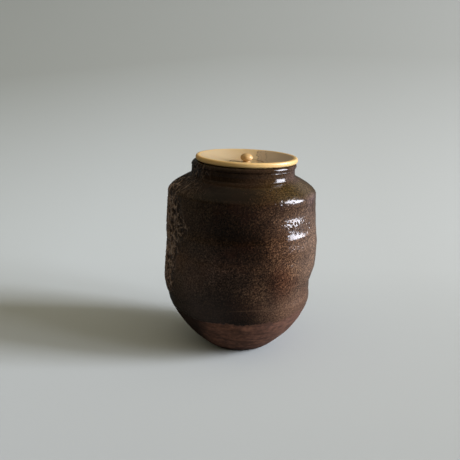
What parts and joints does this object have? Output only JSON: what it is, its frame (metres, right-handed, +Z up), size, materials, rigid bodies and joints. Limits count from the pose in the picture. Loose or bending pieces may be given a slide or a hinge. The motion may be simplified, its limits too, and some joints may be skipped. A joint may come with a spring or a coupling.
{
  "type": "tea caddy",
  "caption": "Small shouldered stoneware jar for powdered tea, brown iron glaze over a bare clay foot, with a scooped lift-off lid of ivory-coloured resin with a round knob.",
  "frame": {"origin": "middle of the flat base on which the jar stands", "axes": "+Z up through the mouth and the lid, +Y away from the viewer of the front, +X to the viewer's right"},
  "size_m": [0.0707, 0.07, 0.0898],
  "materials": {
    "iron_glaze": "glossy brown iron glaze, fine grained, over bare reddish clay at the foot",
    "ivory_resin": "turned and polished",
    "knob_resin": "turned and polished",
    "gold_leaf": "gold leaf on paper, satin"
  },
  "bodies": {
    "jar": {"stoneware_body": "iron_glaze"},
    "lid": {"lid_disc": "ivory_resin", "lid_knob": "knob_resin", "gold_leaf_lining": "gold_leaf"}
  },
  "joints": [
    {"name": "lid_lift", "type": "slide", "parent": "jar", "child": "lid", "axis": [0, 0, 1], "range_m": [0, 0.06]}
  ]
}
